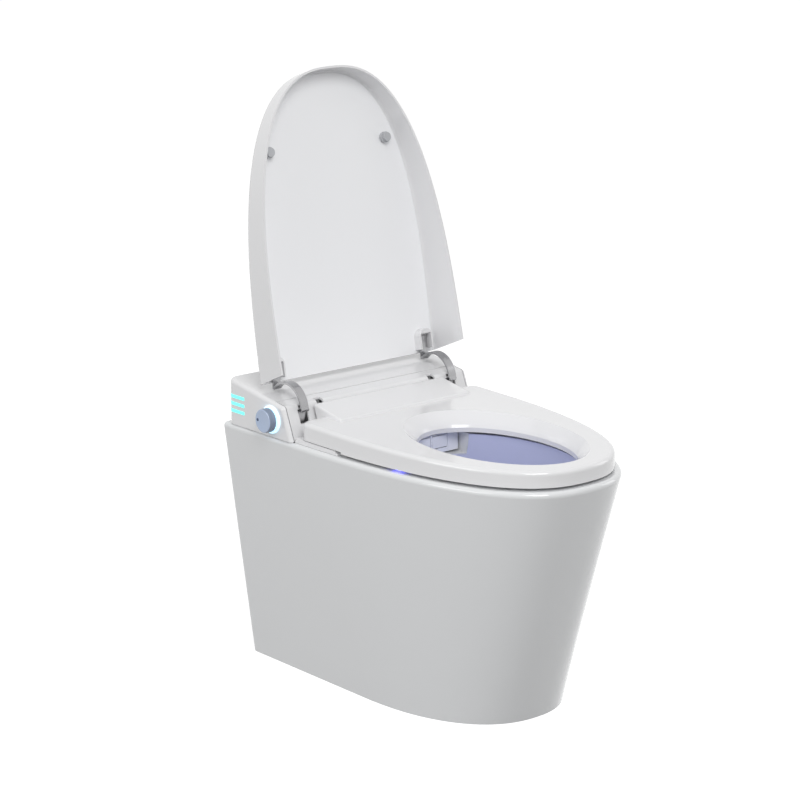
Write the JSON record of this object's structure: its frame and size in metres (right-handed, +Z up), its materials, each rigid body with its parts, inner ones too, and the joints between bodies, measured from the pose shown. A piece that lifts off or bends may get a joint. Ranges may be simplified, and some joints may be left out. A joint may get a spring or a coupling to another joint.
{
  "type": "smart toilet",
  "caption": "Floor-standing skirted toilet with a heated seat, soft-close lid on chrome arms, wash wands, dryer and side control knob.",
  "frame": {"origin": "on the floor, in the plane of symmetry, midway along the ceramic's length at the deck", "axes": "+Z up, -Y towards the front of the bowl, -X towards the control knob"},
  "size_m": [0.4061, 0.659, 0.9675],
  "materials": {
    "glazed_ceramic": "glossy white glaze",
    "white_plastic": "gloss",
    "light_grey_plastic": "semi-gloss",
    "dark_plastic": "matt",
    "knob_plastic": "satin, pale lilac-blue",
    "light_lens": "clear lens lit cyan",
    "night_lens": "clear lens lit blue-violet",
    "seal_rubber": "matt",
    "bumper_rubber": "matt",
    "chrome": "polished",
    "steel": "brushed",
    "brass": "satin",
    "aluminium": "satin",
    "heater_foil": "foil",
    "board_green": "matt"
  },
  "bodies": {
    "toilet": {"ceramic_body": "glazed_ceramic", "outlet_seal": "seal_rubber", "water_inlet": "brass", "flush_valve": "dark_plastic", "flush_pump": "dark_plastic", "chassis": "light_grey_plastic", "chassis_bolts": "steel", "top_cover": "white_plastic", "housing_brow": "white_plastic", "rear_screws": "steel", "power_gland": "dark_plastic", "light_bars": "light_lens", "knob_bezel": "light_lens", "knob_encoder": "dark_plastic", "hinge_shaft": "steel", "nozzle_housing": "light_grey_plastic", "heater_tank": "dark_plastic", "main_board": "board_green", "power_supply": "aluminium", "blower_housing": "dark_plastic", "dryer_duct": "dark_plastic", "deodoriser_case": "dark_plastic", "carbon_cartridge": "dark_plastic", "inlet_solenoid": "brass", "lid_damper_left": "dark_plastic", "lid_damper_right": "dark_plastic", "seat_damper_left": "dark_plastic", "seat_damper_right": "dark_plastic", "wand_motor_left": "steel", "wand_motor_right": "steel"},
    "lid": {"lid_outer_shell": "white_plastic", "lid_inner_panel": "white_plastic", "lid_arm_left": "chrome", "lid_arm_right": "chrome", "arm_boss_left": "white_plastic", "arm_boss_right": "white_plastic", "lid_bumper_left": "bumper_rubber", "lid_bumper_right": "bumper_rubber"},
    "seat": {"seat_upper_shell": "white_plastic", "seat_lower_shell": "white_plastic", "seat_heater": "heater_foil", "seat_bumpers": "bumper_rubber", "seat_lug_left": "light_grey_plastic", "seat_lug_right": "light_grey_plastic", "night_light": "night_lens"},
    "knob_spindle": {"knob_spindle": "steel"},
    "knob": {"knob": "knob_plastic"},
    "wand_left": {"wash_wand_left": "steel", "wand_cap_left": "light_grey_plastic"},
    "wand_right": {"wash_wand_right": "steel", "wand_cap_right": "light_grey_plastic"},
    "blower_wheel": {"blower_wheel": "dark_plastic"},
    "deodoriser_wheel": {"deodoriser_wheel": "dark_plastic"}
  },
  "joints": [
    {"name": "lid_hinge", "type": "hinge", "parent": "toilet", "child": "lid", "pos_m": [0, 0.203, 0.444], "axis": [-1, 0, 0], "range_deg": [-103.6, 0]},
    {"name": "seat_hinge", "type": "hinge", "parent": "toilet", "child": "seat", "pos_m": [0, 0.203, 0.444], "axis": [-1, 0, 0], "range_deg": [0, 95]},
    {"name": "knob_press", "type": "slide", "parent": "toilet", "child": "knob_spindle", "axis": [1, 0, 0], "range_m": [0, 0.0025], "stiffness_N_per_m": 800},
    {"name": "knob_turn", "type": "hinge", "parent": "knob_spindle", "child": "knob", "pos_m": [-0.2, 0.202, 0.43], "axis": [-1, 0, 0], "range_deg": [-150, 150]},
    {"name": "wand_left_slide", "type": "slide", "parent": "toilet", "child": "wand_left", "axis": [0, -0.9945, -0.1045], "range_m": [0, 0.075]},
    {"name": "wand_right_slide", "type": "slide", "parent": "toilet", "child": "wand_right", "axis": [0, -0.9945, -0.1045], "range_m": [0, 0.075]},
    {"name": "blower_spin", "type": "hinge", "parent": "toilet", "child": "blower_wheel", "pos_m": [-0.095, 0.27, 0.42], "axis": [0, 0, 1], "continuous": true},
    {"name": "deodoriser_spin", "type": "hinge", "parent": "toilet", "child": "deodoriser_wheel", "pos_m": [-0.157, 0.254, 0.415], "axis": [0, 0, 1], "continuous": true}
  ]
}
